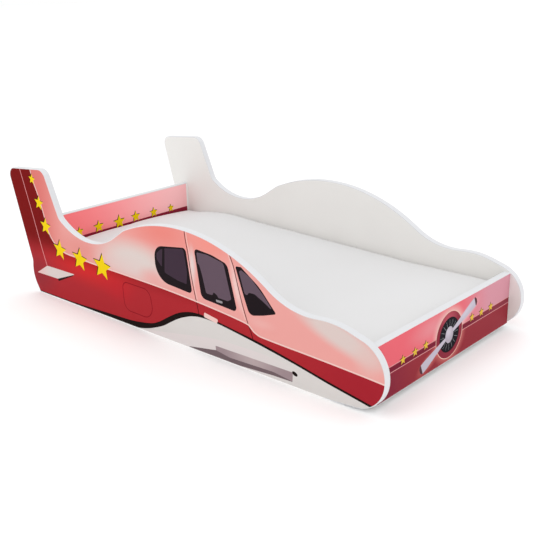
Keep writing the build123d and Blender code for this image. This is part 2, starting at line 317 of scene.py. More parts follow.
def makeBoardBands(name):
    # Straight strips along the top and the bottom edge of an end board
    low, high = boxOf(f"{name}_edge_bands")
    profile = bandProfile(high.x - low.x)
    ends = np.array([low.y, high.y])
    grids = []
    for edge, inward in ((low.z, 1), (high.z, -1)):
        grid = np.empty((2, len(profile), 3))
        grid[..., 0] = (low.x + high.x) / 2 + profile[:, 1]
        grid[..., 1] = ends[:, None]
        grid[..., 2] = edge + inward * profile[:, 0]
        grids.append(outwardPiece(f"{name}_edging_part", grid))
    piece = joinPieces(f"{name}_board_edging", grids)
    finishPiece(piece, absEdging, "bed_frame", [f"{name}_edge_bands"])


# Board and edging materials

def makeMelamine():
    # Melamine-faced chipboard, pressed against a pearl-grained plate: a satin off-white with a
    # fine dimple that breaks up highlights. Only the floor edge is sawn and raw, and shows chips.
    material, tree, shader, place = newMaterial("melamine_faced_chipboard", {
        "Roughness": 0.45, "IOR": 1.5, "Specular IOR Level": 0.35})
    split = addNode(tree, "SeparateXYZ", links={0: place})
    facing = addNode(tree, "NewGeometry")
    down = addNode(tree, "SeparateXYZ", links={0: facing.outputs["Normal"]})
    underneath = addNode(tree, "Math", {"operation": "LESS_THAN", 1: -0.8}, {0: down.outputs[2]})
    nearFloor = addNode(tree, "Math", {"operation": "LESS_THAN", 1: 30 * mm}, {0: split.outputs[2]})
    raw = addNode(tree, "Math", {"operation": "MULTIPLY"},
                  {0: underneath.outputs[0], 1: nearFloor.outputs[0]})
    # chips of about 4 x 1.5 mm
    squeezed = addNode(tree, "Mapping", {"Scale": (250, 700, 700)}, {0: place})
    chips = addNode(tree, "TexVoronoi", {"feature": "F1"}, {0: squeezed.outputs[0]})
    tones = addNode(tree, "ValToRGB", links={0: chips.outputs["Color"]})
    tones.color_ramp.elements[0].color = hexColour(board["chipDark"])
    tones.color_ramp.elements[1].color = hexColour(board["chip"])
    cloudy = addNode(tree, "TexNoise", {"Scale": 9.0, "Detail": 2.0}, {0: place})
    face = mixColours(tree, cloudy.outputs["Fac"], board["faceDark"], board["face"])
    tree.links.new(mixColours(tree, raw.outputs[0], face, tones.outputs[0]), shader.inputs["Base Color"])
    # the pressed pearl grain has a pitch of about 0.9 mm
    pearl = addNode(tree, "TexNoise", {"Scale": 1 / (0.9 * mm), "Detail": 1.0}, {0: place})
    addBump(tree, shader, pearl.outputs["Fac"], 0.02 * mm, 0.5)
    return material


def makeAbsEdging():
    # ABS edge band, extruded and then scraped round: slightly bluish and smoother than the board,
    # with faint lines along it from the scraper
    material, tree, shader, place = newMaterial(
        "scraped_abs_edging", {"Base Color": hexColour(board["edge"]), "IOR": 1.52, "Roughness": 0.36})
    # scraper marks about 0.8 mm apart across the band
    fine = addNode(tree, "Mapping", {"Scale": (20, 1 / (0.8 * mm), 20)}, {0: place})
    marks = addNode(tree, "TexNoise", {"Scale": 1.0, "Detail": 2.0}, {0: fine.outputs[0]})
    addBump(tree, shader, marks.outputs["Fac"], 0.02 * mm, 0.35)
    return material


board = {
    "face": "#E9E7E4", "faceDark": "#E5E3E0", "edge": "#D7D8DB", "chip": "#C9A97A", "chipDark": "#7A5734",
}
melamine = makeMelamine()
absEdging = makeAbsEdging()

for side in (-1, 1):
    makeSideBand(side)
for name in ("tail", "front"):
    makeBoardBands(name)
dressNodes(["left_side_panel", "right_side_panel", "tail_board", "front_board"], melamine)
print("boards and edging done")


# Printed films. A film is one flat sheet cut into inks: of the shapes that cover a point, the
# last one in the list gives its ink.

def inkColour(code, plane):
    # Inks were matched under the photograph's light, so they hold the studio's light on the
    # lacquer: about 9% and a little haze come off. The tail board stands in the well's shade.
    if plane == "tail":
        return hexColour(code)
    return (*[max(0.91 * c - 0.006, 0.002) for c in hexColour(code)[:3]], 1)


def addTones(tree, place, base, tones, plane):
    # Glows are soft ellipses and fades are soft steps along one direction, laid over a flat ink
    colour = inkColour(base, plane)
    for tone in tones:
        if "size" in tone:
            (a, b), (ra, rb) = np.array(tone["at"]) * mm, np.array(tone["size"]) * mm
            far = 1000.0          # the sheet is flat, so this direction doesn't count
            tilt = math.radians(tone.get("tilt", 0))
            if plane == "side":
                spot = {"Location": (a, 0, b), "Rotation": (0, -tilt, 0), "Scale": (ra, far, rb)}
            else:
                spot = {"Location": (0, a, b), "Rotation": (tilt, 0, 0), "Scale": (far, ra, rb)}
            fitted = addNode(tree, "Mapping", {"vector_type": "TEXTURE", **spot}, {0: place})
            glow = addNode(tree, "TexGradient", {"gradient_type": "SPHERICAL"}, {0: fitted.outputs[0]})
            share, low, high = glow.outputs["Fac"], 0.0, tone.get("core", 1.0)
        else:
            axis, low, high = tone["fade"]
            share = addNode(tree, "SeparateXYZ", links={0: place}).outputs["XYZ".index(axis)]
            low, high = low * mm, high * mm
        soft = addNode(tree, "MapRange", {
            "interpolation_type": "SMOOTHSTEP", "From Min": low, "From Max": high,
            "To Min": 0.0, "To Max": tone.get("strength", 1.0)}, {0: share})
        colour = mixColours(tree, soft.outputs[0], colour, inkColour(tone["ink"], plane))
    return colour


def makeInk(name, base, tones, plane):
    # Offset print on a paper foil under a clear cured lacquer: even colour without grain, with
    # the lacquer's slight orange peel, about 2.5 mm from crest to crest, in its reflections
    material, tree, shader, place = newMaterial(
        name, {"Roughness": 0.42, "IOR": 1.45, "Specular IOR Level": 0.03})
    if tones:
        tree.links.new(addTones(tree, place, base, tones, plane), shader.inputs["Base Color"])
    else:
        shader.inputs["Base Color"].default_value = inkColour(base, plane)
    peel = addNode(tree, "TexNoise", {"Scale": 1 / (2.5 * mm), "Detail": 0.0}, {0: place})
    addBump(tree, shader, peel.outputs["Fac"], 0.01 * mm, 0.4)
    return material


def printedSheet(name, outline, shapes, place, flip, node):
    # Constrained Delaunay cut of the sheet along the edges of all its shapes
    inks = []
    loops = [outline] + [shape for shape, ink in shapes]
    owners = [shapes[0][1]] + [ink for shape, ink in shapes]
    cleaned = []
    for loop in loops:
        loop = np.asarray(loop, float)
        loop = loop[np.linalg.norm(loop - np.roll(loop, 1, 0), axis=1) > 0.02]
        area = (loop[:, 0] * np.roll(loop[:, 1], -1) - np.roll(loop[:, 0], -1) * loop[:, 1]).sum()
        cleaned.append(loop if area > 0 else loop[::-1])
    starts = np.cumsum([0] + [len(loop) for loop in cleaned])
    faces = [list(range(starts[i], starts[i + 1])) for i in range(len(cleaned))]
    corners = [Vector(point) for point in np.vstack(cleaned).tolist()]
    points, _, triangles, _, _, covers = delaunay_2d_cdt(corners, [], faces, 1, 0.001, True)
    kept, worn = [], []
    for triangle, cover in zip(triangles, covers):
        if 0 in cover:
            ink = owners[max(cover)]
            if ink not in inks:
                inks.append(ink)
            kept.append(triangle[::-1] if flip else triangle)
            worn.append(inks.index(ink))
    piece = makePiece(name, place(np.array([p[:] for p in points])) * mm, kept)
    if len(piece.data.polygons) != len(worn):
        raise ValueError(f"{name}: a face of the print was lost")
    piece.data.polygons.foreach_set("material_index", worn)
    work = bmesh.new()
    work.from_mesh(piece.data)
    bmesh.ops.delete(work, geom=[v for v in work.verts if not v.link_faces], context="VERTS")
    work.to_mesh(piece.data)
    work.free()
    thick = piece.modifiers.new("film", "SOLIDIFY")
    thick.thickness = film["thickness"] * mm
    thick.offset = -1
    finishPiece(piece, [printInks[ink] for ink in inks], "bed_frame", [node], sharpAngle=0)


film = {"thickness": 0.3}

inkColours = {
    "pink": ("#EBA59F", [
        {"fade": ("X", -470, -640), "ink": "#DD7B75"},
        {"at": (-430, 210), "size": (200, 80), "ink": "#E3938C", "strength": 0.8},
        {"at": (-10, 350), "size": (250, 105), "ink": "#EB8B82"},
        {"at": (200, 350), "size": (150, 80), "ink": "#F1958A", "strength": 0.9},
        {"at": (-142, 230), "size": (250, 90), "ink": "#DED0CB", "core": 0.8},
        {"at": (-215, 200), "size": (190, 52), "ink": "#E1C9C5", "strength": 0.7},
        {"at": (-60, 190), "size": (90, 46), "ink": "#E9A8A3", "strength": 0.8},
        {"at": (122, 270), "size": (20, 82), "ink": "#E4D2CF"},
        {"at": (298, 240), "size": (18, 95), "tilt": 14, "ink": "#EECBC6"},
        {"at": (655, 192), "size": (200, 50), "tilt": -17, "ink": "#DCCAC5", "core": 0.7},
        {"at": (745, 150), "size": (70, 60), "tilt": -50, "ink": "#E2C0BA", "strength": 0.7},
        {"at": (386, 156), "size": (70, 24), "ink": "#EDB7B2", "strength": 0.5},
    ], "side"),
    "red": ("#AE3036", [
        {"at": (-690, 70), "size": (150, 110), "ink": "#98333A"},
        {"at": (-395, 158), "size": (330, 90), "ink": "#D83030", "strength": 0.9},
        {"at": (-250, 110), "size": (120, 60), "ink": "#C22C34", "strength": 0.6},
        {"fade": ("Z", 130, 225), "ink": "#7B0C14"},
        {"fade": ("X", 420, 760), "ink": "#A52B35"},
    ], "side"),
    "paleLine": ("#F0CAC3", [], "side"),
    "fineLine": ("#E4989A", [], "side"),
    "black": ("#241C1B", [], "side"),
    "belly": ("#DAD6D3", [
        {"at": (60, 0), "size": (260, 70), "ink": "#D6CFCD", "strength": 0.6},
    ], "side"),
    "bellyShade": ("#DFD6D5", [
        {"fade": ("X", 330, 560), "ink": "#DAD6D3"},
    ], "side"),
    "wingTop": ("#A08D91", [
        {"at": (350, 32), "size": (130, 50), "ink": "#B9A8A9"},
    ], "side"),
    "wingUnder": ("#756468", [], "side"),
    "windowFrame": ("#272124", [], "side"),
    "darkGlass": ("#443642", [], "side"),
    "glass": ("#665561", [], "side"),
    "grey": ("#9A9599", [], "side"),
    "tailplane": ("#DBD1CC", [
        {"fade": ("X", -600, -700), "ink": "#E8C2BF"},
    ], "side"),
    "seam": ("#4A1A1F", [], "side"),
    "hatchLine": ("#801822", [], "side"),
    "starShadow": ("#33260F", [], "side"),
    "star": ("#F2D31C", [], "side"),
    "tailPink": ("#FF8488", [
        {"fade": ("Y", -230, 320), "ink": "#FFC2C4"},
        {"at": (-330, 225), "size": (170, 80), "ink": "#FF7478"},
    ], "tail"),
    "maroon": ("#8E2438", [], "tail"),
    "bareWhite": ("#F4EFEC", [], "tail"),
    "frontPink": ("#E96B76", [
        {"fade": ("Y", 20, 240), "ink": "#D797A4"},
        {"at": (-80, 150), "size": (170, 60), "ink": "#E68F96"},
        {"at": (-1, 98), "size": (98, 98), "ink": "#EBC2BD", "core": 0.45},
        {"at": (95, 132), "size": (90, 26), "tilt": 22, "ink": "#E9BDC0"},
    ], "front"),
    "frontMaroon": ("#96363F", [
        {"fade": ("Y", -150, -350), "ink": "#842E40"},
        {"at": (-1, 98), "size": (98, 98), "ink": "#DE827C", "core": 0.5},
        {"at": (-105, 52), "size": (80, 30), "tilt": 22, "ink": "#D0706A"},
    ], "front"),
    "frontStripe": ("#7A2538", [
        {"fade": ("Y", 60, 320), "ink": "#8E3C48"},
    ], "front"),
    "frontLine": ("#E2A0A2", [], "front"),
    "cowlOutline": ("#F0C6B6", [], "front"),
    "cowl": ("#8E3342", [
        {"at": (-8, 152), "size": (64, 36), "ink": "#B65260"},
        {"at": (20, 36), "size": (60, 30), "ink": "#933443"},
    ], "front"),
    "engine": ("#1F1D23", [], "front"),
    "engineLine": ("#A0A4A8", [], "front"),
    "spinner": ("#B8AFBC", [
        {"at": (-6, 108), "size": (26, 26), "ink": "#CFC8D3"},
    ], "front"),
    "blade": ("#C5BECC", [
        {"at": (90, 140), "size": (70, 14), "tilt": 22, "ink": "#CFC9D6"},
    ], "front"),
    "bladeTip": ("#5A3940", [], "front"),
    "goldStar": ("#E2BC45", [], "front"),
}
printInks = {name: makeInk("foil_print_" + name, *look) for name, look in inkColours.items()}

livery = {
    # boundary of the red, from the top of the fin down it and on to the nose (x, height)
    "belt": [(-676, 470), (-660, 412), (-640, 366), (-621, 311), (-603, 246), (-570, 204), (-519, 182),
             (-440, 178), (-345, 174), (-172, 171), (-10, 167), (126, 160), (248, 151), (330, 142),
             (346, 135), (360, 124), (378, 117), (395, 115), (472, 112), (548, 110), (656, 106),
             (742, 102), (830, 97)],
    "beltWidth": 4.5,
    "finLine": [(-741, 465), (-712, 372), (-682, 273), (-655, 177), (-634, 112)],
    "finLineWidth": 3.0,
    "tailplane": [(-699, 73, 1), (-633, 111, 1), (-470, 113, 1), (-576, 75, 1)],
    "tailplaneShade": [(-576, 76, 1), (-470, 114, 1), (-486, 104, 1), (-572, 67, 1)],
    # upper edge of the black line, and its lower edge
    "blackTop": [(-760, 4), (-700, 5), (-500, 7), (-294, 15), (-194, 19), (-132, 26), (-80, 36),
                 (-42, 52), (-5, 74), (32, 95), (59, 107), (85, 115), (110, 120), (139, 122), (170, 121),
                 (219, 117), (295, 108), (382, 97), (509, 75), (621, 53), (726, 35), (800, 22)],
    "blackBottom": [(-170, 0), (-140, 4), (-101, 13), (-68, 24), (-25, 42), (12, 64), (48, 84),
                    (84, 99), (114, 108), (151, 113), (207, 112), (284, 103), (382, 89), (509, 68),
                    (621, 46), (726, 28), (800, 15)],
    "bellyLine": [(-134, 3), (-46, 17), (61, 36), (163, 54), (243, 62), (370, 65), (470, 62), (520, 50)],
    "wingTop": [(203, 38, 1), (501, 42, 1), (499, 14, 1), (430, 22, 30), (261, 16, 30), (204, 24, 1)],
    "wingUnder": [(87, 4, 1), (204, 24, 1), (261, 16, 30), (430, 22, 30), (499, 17, 1), (499, 13, 1),
                  (430, 11, 20), (260, 0, 20), (100, -4, 1)],
    "lamp": ((508, 40), (10, 6), -20),
    "hatch": [(-215, 148, 24), (-80, 147, 34), (-66, 47, 42), (-212, 50, 30)],
    "hatchLineWidth": 2.4,
    "rearDoor": [(94, 400), (98, 347), (106, 306), (113, 253), (121, 205), (132, 156), (139, 122)],
    "frontDoor": [(274, 345), (279, 328), (291, 300), (303, 254), (318, 201), (335, 152), (348, 122),
                  (356, 98)],
    "doorLineWidth": 3.0,
    "doorLightWidth": 2.4,
    "doorLightShift": (6, 0),
    "doorLightFrom": (162, 145),      # the lowest height of the light lines, rear and front
    "doorBar": [(162, 133, 4), (220, 124, 4), (213, 111, 4), (160, 118, 4)],
    "rearWindow": [(-44, 298, 40), (97, 318, 14), (116, 179, 13), (-45, 190, 62)],
    "rearGlass": [(4, 299, 3), (87, 313, 8), (98, 245, 40), (93, 205, 4), (55, 208, 12), (-3, 221, 8)],
    "rearQuarter": [(-34, 277, 12), (-13, 293, 4), (-6, 294, 1), (-14, 236, 2), (-36, 258, 16)],
    "doorWindow": [(133, 324, 11), (205, 318, 140), (266, 303, 24), (299, 167, 12), (154, 176, 22)],
    "doorGlass": [(143, 314, 4), (186, 315, 60), (251, 303, 14), (277, 200, 7), (262, 192, 4),
                  (225, 193, 2), (219, 200, 2), (207, 206, 1), (200, 196, 2), (175, 195, 8),
                  (161, 251, 70), (152, 277, 10), (146, 281, 3)],
    "doorCatch": [(214, 186, 2), (241, 186, 2), (240, 179, 2), (215, 179, 2)],
    "windscreen": [(297, 304, 5), (319, 306, 8), (386, 262, 170), (446, 198, 4), (398, 182, 140),
                   (346, 169, 20), (322, 232, 160)],
    "windscreenGlass": [(311, 291, 3), (319, 297, 3), (352, 284, 70), (401, 241, 90), (435, 203, 2),
                        (399, 223, 90), (367, 238, 26), (345, 237, 14), (334, 215, 14)],
    # five-pointed stars: x, height, radius
    "stars": [(-666, 417, 19), (-640, 337, 26), (-615, 258, 31), (-544, 186, 37), (-433, 174, 41),
              (-313, 173, 46)],
    "starTilt": -7,
    "starShadow": (-2.2, 2.2),
}


def paintStars(stars, tilt, shadowShift, ink):
    # Each star lies on a dark one that is shifted up and back
    shapes = []
    for a, b, radius in stars:
        dark = star((a + shadowShift[0], b + shadowShift[1]), radius * 1.06, tilt)
        shapes += [(dark, "starShadow"), (star((a, b), radius, tilt), ink)]
    return shapes


def sidePrintShapes(outline):
    p = livery
    belt = throughPoints(p["belt"])
    blackTop, blackBottom = throughPoints(p["blackTop"]), throughPoints(p["blackBottom"])
    rearDoor, frontDoor = throughPoints(p["rearDoor"], 4), throughPoints(p["frontDoor"], 4)
    bellyLine = throughPoints(p["bellyLine"])
    shift = np.array(p["doorLightShift"])
    below, back, ahead, above = -60, -900, 900, 520       # past the sheet's edges on all sides
    redEdge = [(belt[-1][0], below), (back, below), (back, above)]
    blackEdge = [(blackTop[-1][0], below), (back, below), (back, 5)]
    bellyEdge = [(ahead, 10), (ahead, below), (blackBottom[0][0], below)]
    lightRear = rearDoor[rearDoor[:, 1] > p["doorLightFrom"][0]]
    lightFront = frontDoor[frontDoor[:, 1] > p["doorLightFrom"][1]]
    hatchLine = rounded(p["hatch"], 10)
    inner = np.array(p["hatch"], float)
    middle = inner[:, :2].mean(0)
    # the line's inner edge: each corner drawn in towards the middle by the line's width
    inner[:, :2] -= np.sign(inner[:, :2] - middle) * p["hatchLineWidth"]
    inner[:, 2] -= p["hatchLineWidth"]
    lamp, lampRadii, lampTilt = p["lamp"]
    shapes = [
        (outline, "pink"),
        (np.vstack([belt, redEdge]), "red"),
        (hatchLine, "hatchLine"), (rounded(inner, 10), "red"),
        (np.vstack([blackTop, blackEdge]), "black"),
        (np.vstack([blackBottom, bellyEdge]), "belly"),
        (np.vstack([bellyLine, [(bellyLine[-1][0], below), (bellyLine[0][0], below)]]), "bellyShade"),
        (rounded(p["wingUnder"]), "wingUnder"), (rounded(p["wingTop"]), "wingTop"),
        (ellipse(lamp, lampRadii, lampTilt, 24), "black"),
        (ribbon(lightRear + shift, p["doorLightWidth"]), "paleLine"),
        (ribbon(lightFront - shift, p["doorLightWidth"]), "paleLine"),
        (ribbon(rearDoor, p["doorLineWidth"]), "seam"), (ribbon(frontDoor, p["doorLineWidth"]), "seam"),
        (ribbon(belt, p["beltWidth"]), "paleLine"),
        (ribbon(throughPoints(p["finLine"]), p["finLineWidth"]), "fineLine"),
        (rounded(p["doorBar"]), "paleLine"),
        (rounded(p["rearWindow"], 14), "windowFrame"), (rounded(p["rearGlass"]), "darkGlass"),
        (rounded(p["rearQuarter"]), "darkGlass"),
        (rounded(p["doorWindow"], 10), "windowFrame"), (rounded(p["doorGlass"]), "glass"),
        (rounded(p["doorCatch"], 4), "grey"),
        (rounded(p["windscreen"], 12), "windowFrame"), (rounded(p["windscreenGlass"]), "glass"),
        (rounded(p["tailplaneShade"], 3), "black"), (rounded(p["tailplane"], 3), "tailplane"),
    ]
    return shapes + paintStars(p["stars"], p["starTilt"], p["starShadow"], "star")


def makeSidePrint(side):
    outline = outlinePoints - outlineNormals * sideView["printMargin"]
    height = side * (outerFaceY + film["thickness"])

    def place(flat):
        return np.stack([flat[:, 0], np.full(len(flat), height), flat[:, 1]], 1)

    name = "left" if side < 0 else "right"
    printedSheet(f"{name}_livery_print", outline, sidePrintShapes(outline), place, side > 0,
                 f"{name}_printed_film")


endPrints = {
    "stripe": (90, 104),
    "stripeLines": (106.5, 88.5),
    "lineWidth": 2.0,
    "frontStars": [(-233, 105, 14), (-175, 107, 14), (-122, 108, 14), (124, 110, 14), (179, 109, 14),
                   (235, 109, 14)],
    "engineAt": (-1, 98),
    "cowlRadius": 69, "cowlOutline": 2.2, "discRadius": 52,
    "finCount": 16, "finLengths": (27, 46), "finWidth": 0.9,
    "spinnerRadii": (21, 25),
    "bladeTilt": 21.5, "bladeLength": 160, "bladeWidth": 33, "bladeRoot": 8, "bladeTip": 12,
    "tailStripe": (150, 168.5),
    "tailBare": 342,          # past here the board shows
    "tailStars": [(-192, 184, 18), (-105, 184, 23), (-8, 180, 27), (73, 183, 22), (164, 180, 20),
                  (254, 178, 16)],
    "starShadow": (-2.2, 2.0),
}


def bladeShapes(centre, turn):
    # Half-width along a blade: grows evenly from the root to four fifths, then a round tip
    p = endPrints
    along = np.linspace(0.1, 1, 28)
    growth = np.clip(along / 0.8, 0, 1)
    width = (p["bladeRoot"] + (p["bladeWidth"] - p["bladeRoot"]) * growth) / 2
    tip = np.sqrt(np.clip(1 - np.clip((along - 0.93) / 0.07, 0, 1) ** 2, 0, 1))
    half = width * (0.35 + 0.65 * tip)
    a = along * p["bladeLength"]
    blade = np.vstack([np.stack([a, half], 1), np.stack([a, -half * 0.8], 1)[::-1]])
    endPart = blade[blade[:, 0] > p["bladeLength"] - p["bladeTip"]]
    c, s = math.cos(math.radians(turn)), math.sin(math.radians(turn))
    spin = np.array([[c, s], [-s, c]])
    return [(blade @ spin + centre, "blade"), (endPart @ spin + centre, "bladeTip")]


def frontPrintShapes(outline, low, high):
    p = endPrints
    left, right = low.y - 1, high.y + 1
    centre = np.array(p["engineAt"], float)

    def across(bottom, top):
        return [(left, bottom), (right, bottom), (right, top), (left, top)]

    upper, lower = p["stripeLines"]
    half = p["lineWidth"] / 2
    shapes = [
        (outline, "frontPink"),
        (across(low.z - 1, upper), "frontMaroon"),
        (across(*p["stripe"]), "frontStripe"),
        (across(upper - half, upper + half), "frontLine"), (across(lower - half, lower + half), "frontLine"),
        (ellipse(centre, (p["cowlRadius"] + p["cowlOutline"],) * 2), "cowlOutline"),
        (ellipse(centre, (p["cowlRadius"],) * 2), "cowl"),
        (ellipse(centre, (p["discRadius"],) * 2), "engine"),
    ]
    for turn in np.arange(p["finCount"]) * 2 * np.pi / p["finCount"]:
        reach = np.array([math.cos(turn), math.sin(turn)])
        line = [centre + reach * length for length in p["finLengths"]]
        shapes.append((ribbon(line, p["finWidth"]), "engineLine"))
    for turn in (p["bladeTilt"], p["bladeTilt"] + 180):
        shapes += bladeShapes(centre, turn)
    shapes.append((ellipse(centre, p["spinnerRadii"]), "spinner"))
    return shapes + paintStars(p["frontStars"], 0, p["starShadow"], "goldStar")


def tailPrintShapes(outline, low, high):
    p = endPrints
    left, right = low.y - 1, high.y + 1
    bottom, top = p["tailStripe"]
    shapes = [
        (outline, "tailPink"),
        ([(left, low.z - 1), (right, low.z - 1), (right, top), (left, top)], "frontMaroon"),
        ([(left, bottom), (right, bottom), (right, top), (left, top)], "maroon"),
    ]
    shapes += paintStars(p["tailStars"], 0, p["starShadow"], "star")
    bare = [(p["tailBare"], low.z - 1), (right, low.z - 1), (right, high.z + 1), (p["tailBare"], high.z + 1)]
    return shapes + [(bare, "bareWhite")]


def makeEndPrint(name, shapesOf):
    low, high = boxOf(f"{name}_printed_film")
    outline = [(low.y, low.z), (high.y, low.z), (high.y, high.z), (low.y, high.z)]

    def place(flat):
        return np.stack([np.full(len(flat), high.x), flat[:, 0], flat[:, 1]], 1)

    printedSheet(f"{name}_board_print", outline, shapesOf(outline, low, high), place, False,
                 f"{name}_printed_film")


makeSidePrint(-1)
makeSidePrint(1)
makeEndPrint("front", frontPrintShapes)
makeEndPrint("tail", tailPrintShapes)
print("prints done")


# Slat base

def mixVectors(tree, share, first, second):
    # first + share * (second - 0.5)
    middle = addNode(tree, "VectorMath", {"operation": "SUBTRACT", 1: (0.5, 0.5, 0.5)}, {0: second})
    small = addNode(tree, "VectorMath", {"operation": "SCALE", "Scale": share}, {0: middle.outputs[0]})
    return addNode(tree, "VectorMath", {"operation": "ADD"}, {0: first, 1: small.outputs[0]}).outputs[0]


def makePine(name, alongY):
    # Planed pine: broad pale early wood and narrow dark late wood as rings round a far pith,
    # drawn out 25 times along the grain, with fine fibres across which the plane leaves satin
    p = pine
    material, tree, shader, place = newMaterial(name, {
        "Roughness": 0.58, "IOR": 1.45, "Specular IOR Level": 0.3})
    long, short = 1.0 / p["drawnOut"], 1.0
    scale = (short, long, short) if alongY else (long, short, short)
    drawn = addNode(tree, "Mapping", {"Scale": scale, "Location": p["pith"]}, {0: place})
    wander = addNode(tree, "TexNoise", {"Scale": 7.0, "Detail": 2.0}, {0: drawn.outputs[0]})
    bent = mixVectors(tree, p["wander"], drawn.outputs[0], wander.outputs["Color"])
    # one period of the wave is 0.314 / scale, here a ring of 5 mm
    rings = addNode(tree, "TexWave", {
        "wave_type": "RINGS", "rings_direction": "Y" if alongY else "X",
        "Scale": 0.314 / (p["ring"] * mm)}, {0: bent})
    late = addNode(tree, "Math", {"operation": "POWER", 1: 4.0}, {0: rings.outputs["Fac"]})
    tone = mixColours(tree, late.outputs[0], p["early"], p["late"])
    # fibres of about 0.5 x 17 mm
    fibreScale = tuple(2200 if v == short else 60 for v in scale)
    fibre = addNode(tree, "Mapping", {"Scale": fibreScale}, {0: place})
    strands = addNode(tree, "TexNoise", {"Scale": 1.0, "Detail": 2.0}, {0: fibre.outputs[0]})
    faint = addNode(tree, "Math", {"operation": "MULTIPLY", 1: 0.25}, {0: strands.outputs["Fac"]})
    tree.links.new(mixColours(tree, faint.outputs[0], tone, p["fibre"]), shader.inputs["Base Color"])
    addBump(tree, shader, strands.outputs["Fac"], 0.05 * mm, 0.5)
    return material


tape = {"width": 25, "weave": 0.9, "warp": "#E8E6E0", "weft": "#CFCCC4"}


def makeTapeWeave():
    # Woven polyester tape: a plain weave of 0.9 mm, warp and weft by turns on top
    material, tree, shader, place = newMaterial("woven_polyester_tape", {
        "Roughness": 0.8, "Sheen Weight": 0.15})
    checks = addNode(tree, "TexChecker", {
        "Scale": 1 / (tape["weave"] * mm), "Color1": hexColour(tape["warp"]),
        "Color2": hexColour(tape["weft"])}, {0: place})
    tree.links.new(checks.outputs["Color"], shader.inputs["Base Color"])
    addBump(tree, shader, checks.outputs["Fac"], 0.12 * mm, 0.5)
    return material


def makeMetal(name, tone, roughness, grain, depth):
    # Metal whose fine unevenness, of the given grain in mm, widens its highlights
    material, tree, shader, place = newMaterial(name, {
        "Base Color": hexColour(tone), "Metallic": 1.0, "Roughness": roughness})
    uneven = addNode(tree, "TexNoise", {"Scale": 1 / (grain * mm), "Detail": 2.0}, {0: place})
    addBump(tree, shader, uneven.outputs["Fac"], depth * mm, 0.6)
    return material


pine = {"drawnOut": 25.0, "pith": (0.013, 0, -0.031), "wander": 0.035, "ring": 5.0,
        "early": "#E9CFA0", "late": "#C4935A", "fibre": "#B98A55"}
crossPine = makePine("planed_pine_across", True)
longPine = makePine("planed_pine_along", False)
zincPlated = makeMetal("zinc_plated_steel", "#C8CCCF", 0.28, 0.6, 0.01)    # bright electroplate
zincDiecast = makeMetal("zinc_diecast", "#A7A9AA", 0.46, 0.25, 0.02)       # dull cast skin
slatNames = [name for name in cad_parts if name.startswith("slat_") and name[5:].isdigit()]
dressNodes(slatNames, crossPine, 0.5)
dressNodes(["left_slat_rail", "right_slat_rail"], longPine, 0.8)
dressNodes(["slat_tapes"], makeTapeWeave(), 0.25)
dressNodes(["cam_locks"], zincDiecast, 0.3)
dressNodes(["cam_bolts"], zincPlated, 0.3)

dowel = {"pale": "#DDBB92", "fleck": "#B98C62"}


def makeBeech():
    # Turned and pressed beech dowel: pinkish brown with short dark flecks along the grain
    material, tree, shader, place = newMaterial("turned_beech", {"Roughness": 0.6})
    flecks = addNode(tree, "Mapping", {"Scale": (900, 130, 900)}, {0: place})
    noise = addNode(tree, "TexNoise", {"Scale": 1.0, "Detail": 1.0}, {0: flecks.outputs[0]})
    tone = mixColours(tree, noise.outputs["Fac"], dowel["pale"], dowel["fleck"])
    tree.links.new(tone, shader.inputs["Base Color"])
    return material


dressNodes(["wood_dowels"], makeBeech(), 0.8)
print("slat base done")


# Turned fasteners

def turned(profile, steps=24):
    # Profile of (place along the axis, radius) turned round the X axis
    profile = np.array(profile, float)
    t = np.linspace(0, 2 * np.pi, steps, endpoint=False)
    along = np.broadcast_to(profile[:, 0:1], (len(profile), steps))
    return np.stack([along, profile[:, 1:] * np.cos(t), profile[:, 1:] * np.sin(t)], -1)


def screwGrid(length):
    # Countersunk head with a cross recess, a shank and a thread of 1.6 mm pitch to the point.
    # The recess is deepest in the middle and runs out at its radius.
    p = fastener
    rings = np.linspace(0, p["screwHead"], 12)[:-1]
    neck = p["core"] + 0.1
    cone = [(0.1, p["screwHead"]), (p["headHeight"], neck), (p["headHeight"] + 3, neck)]
    turns = np.arange(p["headHeight"] + 4, length - 4, p["pitch"] / 2)
    thread = [(x, p["thread"] if i % 2 else p["core"]) for i, x in enumerate(turns)]
    profile = [(-p["proud"], r) for r in rings] + [(-p["proud"], p["screwHead"] - 0.1)] + cone + thread
    grid = turned(profile + [(length - 1.5, 0.8), (length, 0.0)], 32)
    radius = np.hypot(grid[..., 1], grid[..., 2])
    arm = np.minimum(abs(grid[..., 1]), abs(grid[..., 2])) < p["recessArm"]
    top = np.arange(len(grid))[:, None] < len(rings)
    deep = p["recessDepth"] * np.clip(1.15 - radius / p["recessRadius"], 0, 1)
    grid[..., 0] += np.where(arm & top & (radius < p["recessRadius"]), deep, 0)
    return grid


def placedAlong(direction, place):
    # Turns the X axis to a direction and moves it to a place
    turn = Vector((1, 0, 0)).rotation_difference(Vector(direction)).to_matrix().to_4x4()
    return Matrix.Translation(place) @ turn


fastener = {
    "camSetback": 34, "camEdge": 42, "capRadius": 8.5, "capHeight": 1.2,
    "pryNotch": 1.1, "pryHalfAngle": 0.16,
    "screwHead": 3.95, "headHeight": 2.4, "proud": 0.1, "core": 1.35, "thread": 1.95, "pitch": 1.6,
    "recessArm": 0.55, "recessRadius": 2.4, "recessDepth": 1.4,
    "railScrewLength": 33, "slatScrewLength": 38, "railScrewMargin": 60, "railScrewCount": 5,
    "stapleWidth": 10, "stapleLeg": 3.0, "stapleBend": 0.6, "stapleWire": (0.7, 0.45),
    "stapleOffset": 18,
}


